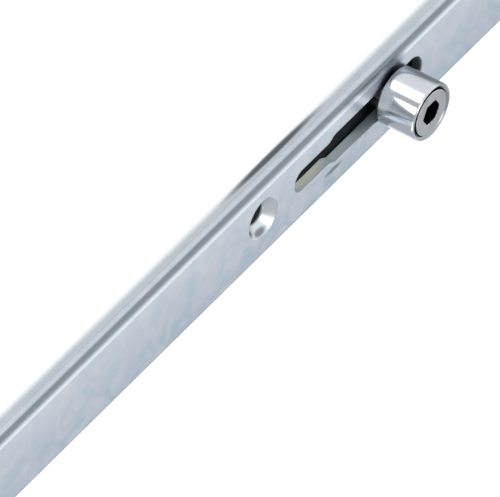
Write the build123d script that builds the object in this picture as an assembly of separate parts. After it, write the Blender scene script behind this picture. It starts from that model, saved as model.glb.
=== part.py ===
from build123d import *
import os
from math import atan, cos, pi, radians, sin, sqrt, tan

# Multipoint door lock, in millimetres. X runs across the faceplate, +Y into the door, +Z up.
# The origin is on the faceplate's front face, on its centre line, level with the handle spindle.

# Faceplate
PLATE_W = 20.0
PLATE_T = 2.5
PLATE_HALF_LENGTH = 460.0
PLATE_CORNER = 2.0
PLATE_EDGE = 0.5
OPENING_CORNER = 0.8
BOLT_CLEARANCE = 0.3

# Countersunk screw holes, seen on the front
SCREW_HOLE_R = 2.6
COUNTERSINK_R = 4.9
END_SCREW_Z = 443.2
MIDDLE_SCREW_Z = 150.0

# Drive rail, a flat bar that slides up and down behind the faceplate
TRAVEL = 15.0
RAIL_W = 18.4
RAIL_T = 2.5
RAIL_GAP = 0.1
RAIL_FRONT = PLATE_T + RAIL_GAP
RAIL_BACK = RAIL_FRONT + RAIL_T
SLOT_SLACK = 0.2
RAIL_CLEARANCE = 0.5
SCREW_CLEARANCE = 0.6
SLIDE_BOTTOM = -185.0
SLIDE_TOP = 86.0
LOWER_RAIL_END = -434.0
UPPER_RAIL_END = 413.0

# Adjustable roller cams
LOWER_CAM_Z = -360.3
UPPER_CAM_Z = 400.0
ROLLER_R = 6.5
ROLLER_BOTTOM = 0.55
ROLLER_TOP = 9.8
ROLLER_RIM = 0.3
ROLLER_DISH = 0.5
# How far the roller's axis stands off the stud's, in X and Z
ECCENTRIC = (-0.24, -0.71)
JOURNAL_R = 4.0
FIT = 0.05
COLLAR_R = 3.6
FLANGE_R = 4.9
FLANGE = (-0.45, -0.15)
SHANK_R = 3.0
STUD_HEAD_R = 5.15
STUD_HEAD_T = 1.9
STUD_HEAD_SUNK = 0.1
STUD_HEAD_EDGE = 0.3
HEAD_SEAT_R = 5.45
SOCKET_FLATS = 5.0
SOCKET_DEPTH = 4.2
RIVET_HEAD_R = 4.3
RIVET_HEAD_T = 1.2
RIVET_HEAD_EDGE = 0.4

# The slot that a roller cam stands in: wide below, narrow at its upper end
SLOT_BELOW_CAM = 11.0
SLOT_ABOVE_CAM = 32.8
SLOT_NARROW_LENGTH = 12.9
SLOT_WIDE = 7.6
SLOT_NARROW = 5.6
SLOT_STEP_HALF = 1.2
SLOT_STEP_R = 1.5
SCREW_ABOVE_SLOT = 10.7
RAIL_SLOT_ABOVE_CAM = 9.3

# Guide studs, riveted in the faceplate, which the rails slide on
GUIDE_ZS = (-410.0, -216.0, 200.0, 365.0)
GUIDE_R = 2.5
GUIDE_HEAD_R = 4.5
GUIDE_HEAD_T = 1.2

# Lock case, a pressed tray with a flat cover
CASE_T = 16.0
SHEET = 1.5
CASE_FRONT = 5.3
CASE_BACK = 63.0
CASE_NECK = 22.0
NECK_SLOPE = 8.0
CASE_TOP = 60.0
CASE_BOTTOM = -148.0
BODY_TOP = 40.0
BODY_BOTTOM = -128.0
CASE_CORNER = 5.0
BEND_R = 1.2
INNER = CASE_T / 2 - SHEET
POST_R = 3.0
POSTS = ((16, 46), (56, 33.5), (57, -12.8), (14, -98), (56, -118), (16, -134))
RIVET_END_R = 2.0
RIVET_END_T = 0.4
FIXING_ZS = (53.0, -139.0)
BUSH_R = 3.5
BUSH_STEP = 0.5
BUSH_FLANGE_R = 4.5
BUSH_FLANGE_T = 3.0
FIXING_R = 2.45
SCREW_END = 4.0
SCREW_SUNK = 0.1
SCREW_SOCKET_R = 1.8

# Handle spindle and key cylinder
BACKSET = 45.0
SPINDLE_SQUARE = 8.0
CYLINDER_Z = -92.0
CYLINDER_R = 8.8
CYLINDER_LEG_W = 10.6
CYLINDER_LEG_Z = -116.6
CYLINDER_SCREW_Z = -111.5

# Handle follower
HUB_R = 11.0
HUB_JOURNAL_R = 8.0
HUB_SIDE_GAP = 0.2
HUB_FIT = 0.06
HUB_STANDS = 0.3
HANDLE_TURN = 30.0
ARM_R = 23.0
ARM_TIP_R = 3.0
ARM_T = 4.0
ARM_ROOT_R = 6.0
PEG_R = 1.5
PEG_AT = 14.5
PEG_END = 5.6

# Latch bolt
LATCH_Z = 23.0
LATCH_H = 18.0
LATCH_W = 11.0
LATCH_OUT = 12.5
LATCH_REAR = 12.0
LATCH_TAIL_H = 11.0
LATCH_TAIL_LOW = LATCH_Z - 6
LATCH_TAIL_X = (-5.3, -2.3)
LATCH_NOSE_FLAT = 1.6
LATCH_EDGE = 0.6
LATCH_LUG_GAP = 0.2
LATCH_LUG_T = 4.0
SPRING_STOP_Y = 33.0
SPRING_STOP_T = 2.0
SPRING_STOP_HALF_H = 6.0
SPRING_X = 1.5
SPRING_STUB = 8.0
SPRING_STUB_R = 1.5

# Toothed wheel that joins the deadbolt to the rail, module 1.5
MODULE = 1.5
RAIL_TEETH = 20
BOLT_TEETH = 24
PRESSURE = 20.0
BACKLASH = 0.14
FLANK_STEPS = 4
RACK_END_ROOM = 0.6
WHEEL_Y = 31.0
BOLT_RACK_Z = -56.0
WHEEL_Z = BOLT_RACK_Z + MODULE * BOLT_TEETH / 2
RAIL_RACK_Y = WHEEL_Y - MODULE * RAIL_TEETH / 2
WHEEL_PIN_R = 3.0
WHEEL_LAYERS = ((-5.3, -1.3), (1.1, 5.2))
WHEEL_HUB_R = 11.0
WHEEL_HUB_STANDS = 0.9

# Deadbolt
BOLT_THROW = TRAVEL * BOLT_TEETH / RAIL_TEETH
BOLT_W = 12.0
BOLT_LOW = -80.0
BOLT_HIGH = -58.5
BOLT_FACE = 0.3
BOLT_REAR = 28.0
BOLT_EDGE = 0.8
TAIL_LAYER = (0.9, 5.4)
TAIL_REAR = 60.7
TAIL_LOW = -72.0
RACK_STARTS = 25.2
RACK_ENDS = 54.0
LUG_LOW = -82.0
NOTCH = (48.3, 57.7)
FRONT_LUG = 42.0
GUIDE_PIN = (34.0, -66.0)
GUIDE_PIN_R = 2.5
RACK_LAYER = (-5.5, -1.1)
RACK_LOW = WHEEL_Z - TRAVEL - 4
RACK_HIGH = WHEEL_Z + 5
TENON_HALF = 2.5

# Couplings between the rails
SPLICE_LENGTH = 40.0
SPLICE_W = 16.0
SPLICE_T = 2.0
SPLICE_CORNER = 3.0
SPLICE_RIVETS = (-14.0, -6.0, 6.0, 14.0)
RIVET_R = 2.0
RIVET_DOME_R = 3.4
RIVET_DOME = 1.4


# Helpers: every flat piece is drawn face on and then given its thickness


def block(x, y, z):
    """A box between the two ends of each pair."""
    low, high = (x[0], y[0], z[0]), (x[1], y[1], z[1])
    size = [b - a for a, b in zip(low, high)]
    return Pos(*low) * Box(*size, align=(Align.MIN, Align.MIN, Align.MIN))


def from_front(sketch, front, back):
    """A sketch drawn in X and Z, made solid from y = front to y = back."""
    seen = Plane(origin=(0, back, 0), x_dir=(1, 0, 0), z_dir=(0, -1, 0))
    return extrude(seen * sketch, back - front)


def from_side(sketch, x):
    """A sketch drawn in Y and Z, made solid between the two values of x."""
    seen = Plane(origin=(x[0], 0, 0), x_dir=(0, 1, 0), z_dir=(1, 0, 0))
    return extrude(seen * sketch, x[1] - x[0])


def turned(profile, x, z):
    """A solid of revolution about a line along Y: profile lists (radius, y) corners."""
    lathe = Plane(origin=(x, 0, z), x_dir=(1, 0, 0), z_dir=(0, 0, 1))
    outline = lathe * make_face(Polyline(*profile, close=True))
    return revolve(outline, Axis((x, 0, z), (0, 1, 0)), 360)


def rod(x, z, radius, front, back):
    return turned([(0, front), (radius, front), (radius, back), (0, back)], x, z)


def cross_rod(y, z, radius, x):
    """A rod along X."""
    return from_side(Pos(y, z) * Circle(radius), x)


def upright_slot(z_low, z_high, width):
    """A round-ended slot along Z, from end to end."""
    length = z_high - z_low
    return Pos(0, (z_low + z_high) / 2) * Rot(0, 0, 90) * SlotOverall(length, width)


def window(z_low, z_high, width, corner=OPENING_CORNER):
    height = z_high - z_low
    return Pos(0, (z_low + z_high) / 2) * RectangleRounded(width, height, corner)


def group(solids):
    return Compound(children=list(solids))


# Toothed parts


def tooth_flank(teeth):
    """Points (radius, half angle) up one involute flank, from the root to the tip."""
    pitch_r = MODULE * teeth / 2
    base_r = pitch_r * cos(radians(PRESSURE))
    root_r = pitch_r - 1.25 * MODULE
    tip_r = pitch_r + MODULE
    half_at_pitch = (pi * MODULE / 2 - BACKLASH) / 2 / pitch_r
    pressure = radians(PRESSURE)
    base_half = half_at_pitch + tan(pressure) - pressure
    points = [(root_r, base_half)]
    start_r = max(base_r, root_r)
    for step in range(FLANK_STEPS + 1):
        radius = start_r + (tip_r - start_r) * step / FLANK_STEPS
        roll = sqrt(max((radius / base_r) ** 2 - 1, 0))
        points.append((radius, base_half - (roll - atan(roll))))
    return points


def toothed_disc(teeth, first_angle):
    """A spur wheel's outline, with a tooth centred on first_angle, in radians."""
    flank = tooth_flank(teeth)
    outline = []
    for tooth in range(teeth):
        middle = first_angle + 2 * pi * tooth / teeth
        for side, points in ((-1, flank), (1, flank[::-1])):
            for radius, half in points:
                angle = middle + side * half
                outline.append((radius * cos(angle), radius * sin(angle)))
    return make_face(Polyline(*outline, close=True))


def rack_teeth(start, end, gap_at, back):
    """A rack's outline along its first axis, teeth up from a pitch line at 0, a gap at gap_at."""
    pitch = pi * MODULE
    half_tooth = (pitch / 2 - BACKLASH) / 2
    slope = tan(radians(PRESSURE))
    top, root = MODULE, -1.25 * MODULE
    outline = [(start, back), (start, root)]
    middle = gap_at + pitch / 2
    while middle - pitch > start + half_tooth:
        middle -= pitch
    while middle + half_tooth + RACK_END_ROOM < end:
        for side, height in ((-1, root), (-1, top), (1, top), (1, root)):
            outline.append((middle + side * (half_tooth - slope * height), height))
        middle += pitch
    outline += [(end, root), (end, back)]
    return make_face(Polyline(*outline, close=True))


# Faceplate: one strip of zinc-plated steel


def latch_window():
    half = LATCH_H / 2 + BOLT_CLEARANCE
    return window(LATCH_Z - half, LATCH_Z + half, LATCH_W + 2 * BOLT_CLEARANCE)


def bolt_window():
    return window(BOLT_LOW - BOLT_CLEARANCE, BOLT_HIGH + BOLT_CLEARANCE, BOLT_W + 2 * BOLT_CLEARANCE)


def slot_ends(cam_z):
    return cam_z - SLOT_BELOW_CAM, cam_z + SLOT_ABOVE_CAM


def cam_slot(cam_z):
    """A wide slot that tapers in a soft step to a narrow one above."""
    low, high = slot_ends(cam_z)
    step = high - SLOT_NARROW_LENGTH
    step_low, step_high = step - SLOT_STEP_HALF, step + SLOT_STEP_HALF
    wide, narrow = SLOT_WIDE / 2, SLOT_NARROW / 2
    taper = make_face(
        Polyline((-wide, step_low), (wide, step_low), (narrow, step_high), (-narrow, step_high), close=True)
    )
    below = Pos(0, (low + step_low) / 2) * Rectangle(SLOT_WIDE, step_low - low)
    outline = (upright_slot(low, step_high + wide, SLOT_WIDE) & below) + taper
    outline += upright_slot(step_high - SLOT_WIDE, high, SLOT_NARROW)
    corners = [v for v in outline.vertices() if min(abs(v.Y - step_low), abs(v.Y - step_high)) < FIT]
    return fillet(corners, SLOT_STEP_R)


def screw_zs():
    """Screw holes: one near each end, one above the lower cam's slot, one above the case."""
    above_lower_slot = slot_ends(LOWER_CAM_Z)[1] + SCREW_ABOVE_SLOT
    return (-END_SCREW_Z, above_lower_slot, MIDDLE_SCREW_Z, END_SCREW_Z, CYLINDER_SCREW_Z)


def countersunk_hole(z):
    cone = COUNTERSINK_R - SCREW_HOLE_R
    past = 1.0
    profile = [
        (0, -past),
        (COUNTERSINK_R + past, -past),
        (SCREW_HOLE_R, cone),
        (SCREW_HOLE_R, PLATE_T + past),
        (0, PLATE_T + past),
    ]
    return turned(profile, 0, z)


def make_faceplate():
    outline = RectangleRounded(PLATE_W, 2 * PLATE_HALF_LENGTH, PLATE_CORNER)
    plate = from_front(outline, 0, PLATE_T)
    front_edges = plate.faces().sort_by(Axis.Y)[0].edges()
    plate = chamfer(front_edges, PLATE_EDGE)
    through = (-1, PLATE_T + 1)
    for cam_z in (LOWER_CAM_Z, UPPER_CAM_Z):
        plate -= from_front(cam_slot(cam_z), *through)
    for z in screw_zs() + FIXING_ZS:
        plate -= countersunk_hole(z)
    for z in GUIDE_ZS:
        plate -= rod(0, z, GUIDE_R, *through)
    return plate - from_front(latch_window(), *through) - from_front(bolt_window(), *through)


def make_guide_studs():
    back = RAIL_BACK + RAIL_GAP
    profile = [
        (0, 0),
        (GUIDE_R, 0),
        (GUIDE_R, back),
        (GUIDE_HEAD_R, back),
        (GUIDE_HEAD_R, back + GUIDE_HEAD_T),
        (0, back + GUIDE_HEAD_T),
    ]
    return group(turned(profile, 0, z) for z in GUIDE_ZS)


# Drive rail: a slide past the case, with a rail riveted to it above and below


def rail_bar(z_low, z_high):
    return block((-RAIL_W / 2, RAIL_W / 2), (RAIL_FRONT, RAIL_BACK), (z_low, z_high))


def travel_slot(z, radius, low=None):
    """A slot that lets a fixed rod at height z stay while the rail goes up."""
    bottom = z - TRAVEL - radius - SLOT_SLACK if low is None else low
    slot = upright_slot(bottom, z + radius + SLOT_SLACK, 2 * radius + 2 * FIT)
    return from_front(slot, RAIL_FRONT - 1, RAIL_BACK + 1)


def make_drive_slide():
    slide = rail_bar(SLIDE_BOTTOM, SLIDE_TOP)
    through = (RAIL_FRONT - 1, RAIL_BACK + 1)
    latch_low = LATCH_Z - LATCH_H / 2 - TRAVEL - RAIL_CLEARANCE
    latch_high = LATCH_Z + LATCH_H / 2 + RAIL_CLEARANCE
    slide -= from_front(window(latch_low, latch_high, LATCH_W + 2 * BOLT_CLEARANCE), *through)
    # One window clears the deadbolt and, below it, the key cylinder's screw.
    screw_low = CYLINDER_SCREW_Z - TRAVEL - SCREW_HOLE_R - RAIL_CLEARANCE
    bolt = window(screw_low, BOLT_HIGH + RAIL_CLEARANCE, BOLT_W + 2 * BOLT_CLEARANCE)
    slide -= from_front(bolt, *through)
    for z in FIXING_ZS:
        slide -= travel_slot(z, BUSH_R)
    for tenon in rack_tenons():
        slide -= tenon
    return slide


def rack_tenons():
    """Two square tenons that hold the rack in the slide."""
    third = (RACK_HIGH - RACK_LOW) / 3
    return [
        block(RACK_LAYER, (RAIL_FRONT, RAIL_BACK), (z - TENON_HALF, z + TENON_HALF))
        for z in (RACK_LOW + third / 2, RACK_HIGH - third / 2)
    ]


def make_rail_rack():
    """The rack stands back from the slide through the case's front, with its teeth to the rear."""
    depth = RAIL_RACK_Y - RAIL_BACK
    teeth = rack_teeth(RACK_LOW, RACK_HIGH, WHEEL_Z, -depth)
    side = Plane(origin=(RACK_LAYER[0], RAIL_RACK_Y, 0), x_dir=(0, 0, 1), z_dir=(-1, 0, 0))
    rack = extrude(side * teeth, -(RACK_LAYER[1] - RACK_LAYER[0]))
    for tenon in rack_tenons():
        rack += tenon
    return rack


def make_lower_rail():
    rail = rail_bar(LOWER_RAIL_END, SLIDE_BOTTOM)
    for z in GUIDE_ZS:
        if LOWER_RAIL_END < z < SLIDE_BOTTOM:
            rail -= travel_slot(z, GUIDE_R)
    # One long slot clears the screw and lies open behind the narrow part of the cam's slot.
    screw_z = slot_ends(LOWER_CAM_Z)[1] + SCREW_ABOVE_SLOT
    slot_low = LOWER_CAM_Z + RAIL_SLOT_ABOVE_CAM
    rail -= travel_slot(screw_z, SCREW_HOLE_R + SCREW_CLEARANCE, slot_low)
    return rail - rod(0, LOWER_CAM_Z, SHANK_R + FIT, RAIL_FRONT - 1, RAIL_BACK + 1)


def make_upper_rail():
    rail = rail_bar(SLIDE_TOP, UPPER_RAIL_END)
    for z in GUIDE_ZS:
        if SLIDE_TOP < z < UPPER_RAIL_END:
            rail -= travel_slot(z, GUIDE_R)
    rail -= travel_slot(MIDDLE_SCREW_Z, SCREW_HOLE_R + SCREW_CLEARANCE)
    return rail - rod(0, UPPER_CAM_Z, SHANK_R + FIT, RAIL_FRONT - 1, RAIL_BACK + 1)


def with_rivet_holes(bar, joint_z):
    for step in SPLICE_RIVETS:
        bar -= rod(0, joint_z + step, RIVET_R, RAIL_FRONT - 1, RAIL_BACK + SPLICE_T + 1)
    return bar


def make_splice(joint_z):
    half = SPLICE_LENGTH / 2
    outline = Pos(0, joint_z) * RectangleRounded(SPLICE_W, 2 * half, SPLICE_CORNER)
    return with_rivet_holes(from_front(outline, RAIL_BACK, RAIL_BACK + SPLICE_T), joint_z)


def make_splice_rivets():
    seat = RAIL_BACK + SPLICE_T
    profile = [
        (0, RAIL_FRONT),
        (RIVET_R, RAIL_FRONT),
        (RIVET_R, seat),
        (RIVET_DOME_R, seat),
        (0.8 * RIVET_DOME_R, seat + 0.6 * RIVET_DOME),
        (0.4 * RIVET_DOME_R, seat + RIVET_DOME),
        (0, seat + RIVET_DOME),
    ]
    zs = [joint + step for joint in (SLIDE_BOTTOM, SLIDE_TOP) for step in SPLICE_RIVETS]
    return group(turned(profile, 0, z) for z in zs)


# Roller cams: an eccentric stud riveted in the rail, and a roller that turns on it


def roller_axis(cam_z):
    return ECCENTRIC[0], cam_z + ECCENTRIC[1]


def make_cam_stud(z):
    """The shank turns in the rail at height z; journal, head and socket stand off its axis."""
    axis_x, axis_z = roller_axis(z)
    back = RAIL_BACK + FIT
    flange_front, flange_back = FLANGE
    shank = [
        (0, flange_front),
        (COLLAR_R, flange_front),
        (COLLAR_R, RAIL_FRONT - FIT),
        (SHANK_R, RAIL_FRONT - FIT),
        (SHANK_R, back),
        (RIVET_HEAD_R, back),
        (RIVET_HEAD_R - RIVET_HEAD_EDGE, back + RIVET_HEAD_T),
        (0, back + RIVET_HEAD_T),
    ]
    head_under = STUD_HEAD_T - ROLLER_TOP
    head_top = STUD_HEAD_SUNK - ROLLER_TOP
    journal = [
        (0, flange_back),
        (FLANGE_R, flange_back),
        (FLANGE_R, flange_front),
        (JOURNAL_R, flange_front),
        (JOURNAL_R, head_under),
        (STUD_HEAD_R, head_under),
        (STUD_HEAD_R, head_top + STUD_HEAD_EDGE),
        (STUD_HEAD_R - STUD_HEAD_EDGE, head_top),
        (0, head_top),
    ]
    stud = turned(shank, 0, z) + turned(journal, axis_x, axis_z)
    socket_r = SOCKET_FLATS / 2 / cos(pi / 6)
    hexagon = Pos(axis_x, axis_z) * RegularPolygon(socket_r, 6, rotation=90)
    return stud - from_front(hexagon, -ROLLER_TOP - 1, SOCKET_DEPTH - ROLLER_TOP)


def make_roller(z):
    """A sleeve with a shallow dish in its end, round the stud's head."""
    bore = JOURNAL_R + FIT
    seat = STUD_HEAD_T - ROLLER_TOP + FIT
    profile = [
        (bore, -ROLLER_BOTTOM),
        (ROLLER_R - ROLLER_RIM, -ROLLER_BOTTOM),
        (ROLLER_R, -ROLLER_BOTTOM - ROLLER_RIM),
        (ROLLER_R, ROLLER_RIM - ROLLER_TOP),
        (ROLLER_R - ROLLER_RIM, -ROLLER_TOP),
        (HEAD_SEAT_R, ROLLER_DISH - ROLLER_TOP),
        (HEAD_SEAT_R, seat),
        (bore, seat),
    ]
    return turned(profile, *roller_axis(z))


# Lock case


def case_outline(inset=0.0):
    """The case seen from the side, in Y and Z: a deep body with a short neck at each end."""
    corners = [
        (CASE_FRONT, CASE_BOTTOM),
        (CASE_NECK, CASE_BOTTOM),
        (CASE_NECK + NECK_SLOPE, BODY_BOTTOM),
        (CASE_BACK, BODY_BOTTOM),
        (CASE_BACK, BODY_TOP),
        (CASE_NECK + NECK_SLOPE, BODY_TOP),
        (CASE_NECK, CASE_TOP),
        (CASE_FRONT, CASE_TOP),
    ]
    outline = make_face(Polyline(*corners, close=True))
    rounded = [v for v in outline.vertices() if v.X > CASE_FRONT + 1]
    outline = fillet(rounded, CASE_CORNER)
    return offset(outline, -inset) if inset else outline


def side_holes():
    """Holes through tray and cover alike: handle, key cylinder, posts and pins."""
    cut = (-CASE_T, CASE_T)
    leg_top = CYLINDER_Z
    leg_bottom = CYLINDER_LEG_Z + CYLINDER_LEG_W / 2
    leg = block(cut, (BACKSET - CYLINDER_LEG_W / 2, BACKSET + CYLINDER_LEG_W / 2), (leg_bottom, leg_top))
    tools = [
        cross_rod(BACKSET, 0, HUB_JOURNAL_R + HUB_FIT, cut),
        cross_rod(BACKSET, CYLINDER_Z, CYLINDER_R, cut),
        leg,
        cross_rod(BACKSET, leg_bottom, CYLINDER_LEG_W / 2, cut),
        cross_rod(*GUIDE_PIN, RIVET_END_R, cut),
        cross_rod(WHEEL_Y, WHEEL_Z, RIVET_END_R, cut),
    ]
    return tools + [cross_rod(y, z, RIVET_END_R, cut) for y, z in POSTS]


def make_case_body():
    floor = -CASE_T / 2
    tray = from_side(case_outline(), (floor, INNER))
    bent_edges = [e for e in tray.faces().sort_by(Axis.X)[0].edges() if e.center().Y > CASE_FRONT + 1]
    tray = fillet(bent_edges, BEND_R)
    tray -= from_side(case_outline(SHEET), (floor + SHEET, INNER + 1))
    for tool in side_holes():
        tray -= tool
    front = (CASE_FRONT - 1, CASE_FRONT + SHEET + 1)
    tray -= from_front(latch_window(), *front)
    tray -= from_front(bolt_window(), *front)
    rack_x = (RACK_LAYER[0] - RAIL_CLEARANCE, RACK_LAYER[1] + RAIL_CLEARANCE)
    tray -= block(rack_x, front, (BOLT_HIGH, RACK_HIGH + TRAVEL + RAIL_CLEARANCE))
    for z in FIXING_ZS:
        tray -= rod(0, z, BUSH_R - BUSH_STEP, *front)
    return tray - rod(0, CYLINDER_SCREW_Z, SCREW_HOLE_R, *front)


def make_case_cover():
    cover = from_side(case_outline(), (INNER, CASE_T / 2))
    for tool in side_holes():
        cover -= tool
    return cover


def riveted_post(y, z, radius):
    """A shouldered post between tray and cover, with its ends riveted through both."""
    through = CASE_T / 2 + RIVET_END_T
    return cross_rod(y, z, radius, (-INNER, INNER)) + cross_rod(y, z, RIVET_END_R, (-through, through))


def make_case_posts():
    return group(riveted_post(y, z, POST_R) for y, z in POSTS)


def make_case_bushes():
    """Threaded spacers that hold the case off the faceplate and guide the slide."""
    profile = [
        (FIXING_R, PLATE_T),
        (BUSH_R, PLATE_T),
        (BUSH_R, CASE_FRONT),
        (BUSH_R - BUSH_STEP, CASE_FRONT),
        (BUSH_R - BUSH_STEP, CASE_FRONT + SHEET),
        (BUSH_FLANGE_R, CASE_FRONT + SHEET),
        (BUSH_FLANGE_R, CASE_FRONT + SHEET + BUSH_FLANGE_T),
        (FIXING_R, CASE_FRONT + SHEET + BUSH_FLANGE_T),
    ]
    return group(turned(profile, 0, z) for z in FIXING_ZS)


def make_case_screws():
    """Countersunk screws from the front, with a hexagon socket."""
    head = COUNTERSINK_R - SCREW_SUNK
    end = CASE_FRONT + SHEET + SCREW_END
    profile = [
        (0, SCREW_SUNK),
        (head, SCREW_SUNK),
        (FIXING_R, SCREW_SUNK + head - FIXING_R),
        (FIXING_R, end),
        (0, end),
    ]
    screws = []
    for z in FIXING_ZS:
        key = Pos(0, z) * RegularPolygon(SCREW_SOCKET_R, 6)
        screws.append(turned(profile, 0, z) - from_front(key, -1, SCREW_SOCKET_R))
    return group(screws)


# Handle follower and latch


def arm_tip(turn=0.0):
    """The middle of the follower's arm tip after the handle has turned down by turn degrees."""
    lean = radians(HANDLE_TURN / 2 - turn)
    return BACKSET - ARM_R * sin(lean), ARM_R * cos(lean)


def make_handle_follower():
    side = INNER - HUB_SIDE_GAP
    out = CASE_T / 2 + HUB_STANDS
    hub = cross_rod(BACKSET, 0, HUB_R, (-side, ARM_T / 2))
    hub += cross_rod(BACKSET, 0, HUB_JOURNAL_R, (-out, out))
    root = Pos(BACKSET, 0) * Circle(ARM_ROOT_R)
    tip = Pos(*arm_tip()) * Circle(ARM_TIP_R)
    arm = make_hull(root.edges() + tip.edges())
    hub += from_side(arm, (-ARM_T / 2, ARM_T / 2))
    lean = radians(HANDLE_TURN / 2)
    peg = (BACKSET - PEG_AT * sin(lean), PEG_AT * cos(lean))
    hub += cross_rod(*peg, PEG_R, (0, PEG_END))
    half = SPINDLE_SQUARE / 2
    return hub - block((-CASE_T, CASE_T), (BACKSET - half, BACKSET + half), (-half, half))


def make_latch_bolt():
    half = LATCH_W / 2
    nose = -LATCH_OUT
    tip, heel = (LATCH_NOSE_FLAT - half, nose), (half, -LATCH_EDGE)
    middle = (half * 0.55, nose * 0.55)
    slope = ThreePointArc(tip, middle, heel)
    rest = Polyline(heel, (half, LATCH_REAR), (-half, LATCH_REAR), (-half, nose + LATCH_EDGE), tip)
    outline = make_face(slope + rest)
    low = LATCH_Z - LATCH_H / 2
    head = extrude(Plane(origin=(0, 0, low)) * outline, LATCH_H)
    lug_y = arm_tip()[0] + ARM_TIP_R + LATCH_LUG_GAP
    z = (LATCH_TAIL_LOW, LATCH_TAIL_LOW + LATCH_TAIL_H)
    tail = block(LATCH_TAIL_X, (LATCH_REAR, lug_y + LATCH_LUG_T), z)
    lug = block((LATCH_TAIL_X[0], ARM_T / 2), (lug_y, lug_y + LATCH_LUG_T), (LATCH_Z, z[1]))
    return head + tail + lug


def make_spring_stop():
    """A bracket riveted inside the cover: it backs the latch spring and guides it with a stub."""
    x = (LATCH_TAIL_X[1] + RAIL_CLEARANCE, INNER)
    z = (LATCH_Z - SPRING_STOP_HALF_H, LATCH_Z + SPRING_STOP_HALF_H)
    plate = block(x, (SPRING_STOP_Y, SPRING_STOP_Y + SPRING_STOP_T), z)
    return plate + rod(SPRING_X, LATCH_Z, SPRING_STUB_R, SPRING_STOP_Y - SPRING_STUB, SPRING_STOP_Y)


def make_latch_spring():
    wire, turns, radius = 0.45, 6, 2.7
    start = LATCH_REAR + wire + FIT
    length = SPRING_STOP_Y - wire - FIT - start
    seat = Plane(origin=(SPRING_X, start, LATCH_Z), x_dir=(1, 0, 0), z_dir=(0, 1, 0))
    path = seat * Helix(length / turns, length, radius)
    return sweep(Plane(origin=path @ 0, z_dir=path % 0) * Circle(wire), path, is_frenet=True)


def make_follower_spring():
    """A torsion spring on the hub: one leg on a case post, the other behind the arm's peg."""
    wire, radius, turns = 0.6, 9.2, 2.481
    start_x, pitch, leg_length = 5.8, 1.25, 8.0
    seat = Plane(origin=(start_x, BACKSET, 0), x_dir=(0, 0, -1), z_dir=(-1, 0, 0))
    path = seat * Helix(pitch, pitch * turns, radius)
    coil = sweep(Plane(origin=path @ 0, z_dir=path % 0) * Circle(wire), path, is_frenet=True)
    fixed_leg = Line(path @ 0, (start_x, CASE_BACK - SHEET - 0.5, -radius))
    last = path @ 1
    outward = Vector(0, last.Y - BACKSET, last.Z).normalized()
    moving_leg = Line(last - outward * wire / 2, last + outward * leg_length)
    for leg in (fixed_leg, moving_leg):
        coil += sweep(Plane(origin=leg @ 0, z_dir=leg % 0) * Circle(wire), leg)
    return coil


# Transfer wheel and deadbolt


def make_transfer_wheel():
    rail_layer, bolt_layer = WHEEL_LAYERS
    at = Pos(WHEEL_Y, WHEEL_Z)
    wheel = from_side(at * toothed_disc(RAIL_TEETH, pi), rail_layer)
    wheel += from_side(at * toothed_disc(BOLT_TEETH, -pi / 2), bolt_layer)
    hub = (rail_layer[0] - WHEEL_HUB_STANDS, bolt_layer[1] + WHEEL_HUB_STANDS)
    wheel += cross_rod(WHEEL_Y, WHEEL_Z, WHEEL_HUB_R, hub)
    return wheel - cross_rod(WHEEL_Y, WHEEL_Z, WHEEL_PIN_R + FIT, (-CASE_T, CASE_T))


def make_deadbolt():
    half = BOLT_W / 2
    head = block((-half, half), (BOLT_FACE, BOLT_REAR), (BOLT_LOW, BOLT_HIGH))
    head = chamfer(head.faces().sort_by(Axis.Y)[0].edges(), BOLT_EDGE)
    teeth = rack_teeth(RACK_STARTS, RACK_ENDS, WHEEL_Y, TAIL_LOW - BOLT_RACK_Z)
    tail = from_side(Pos(0, BOLT_RACK_Z) * teeth, TAIL_LAYER)
    root = BOLT_RACK_Z - 1.25 * MODULE
    tail += block(TAIL_LAYER, (RACK_ENDS, TAIL_REAR), (TAIL_LOW, root))
    tail += block(TAIL_LAYER, (FRONT_LUG, NOTCH[0]), (LUG_LOW, TAIL_LOW))
    tail += block(TAIL_LAYER, (NOTCH[1], TAIL_REAR), (LUG_LOW, TAIL_LOW))
    reach = GUIDE_PIN_R + 0.1
    pin_y, pin_z = GUIDE_PIN
    slot_middle = pin_y + BOLT_THROW / 2
    slot = Pos(slot_middle, pin_z) * SlotOverall(BOLT_THROW + 2 * reach, 2 * reach)
    return head + tail - from_side(slot, (TAIL_LAYER[0] - 1, TAIL_LAYER[1] + 1))


parts = {
    "faceplate": make_faceplate(),
    "guide_studs": make_guide_studs(),
    "case_body": make_case_body(),
    "case_cover": make_case_cover(),
    "case_posts": make_case_posts(),
    "case_bushes": make_case_bushes(),
    "case_screws": make_case_screws(),
    "wheel_pin": riveted_post(WHEEL_Y, WHEEL_Z, WHEEL_PIN_R),
    "bolt_guide_pin": riveted_post(*GUIDE_PIN, GUIDE_PIN_R),
    "spring_stop": make_spring_stop(),
    "latch_spring": make_latch_spring(),
    "follower_spring": make_follower_spring(),
    "handle_follower": make_handle_follower(),
    "latch_bolt": make_latch_bolt(),
    "transfer_wheel": make_transfer_wheel(),
    "deadbolt": make_deadbolt(),
    "drive_slide": with_rivet_holes(with_rivet_holes(make_drive_slide(), SLIDE_BOTTOM), SLIDE_TOP),
    "rail_rack": make_rail_rack(),
    "lower_rail": with_rivet_holes(make_lower_rail(), SLIDE_BOTTOM),
    "upper_rail": with_rivet_holes(make_upper_rail(), SLIDE_TOP),
    "lower_splice": make_splice(SLIDE_BOTTOM),
    "upper_splice": make_splice(SLIDE_TOP),
    "splice_rivets": make_splice_rivets(),
    "lower_cam_stud": make_cam_stud(LOWER_CAM_Z),
    "lower_roller": make_roller(LOWER_CAM_Z),
    "upper_cam_stud": make_cam_stud(UPPER_CAM_Z),
    "upper_roller": make_roller(UPPER_CAM_Z),
}

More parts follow.
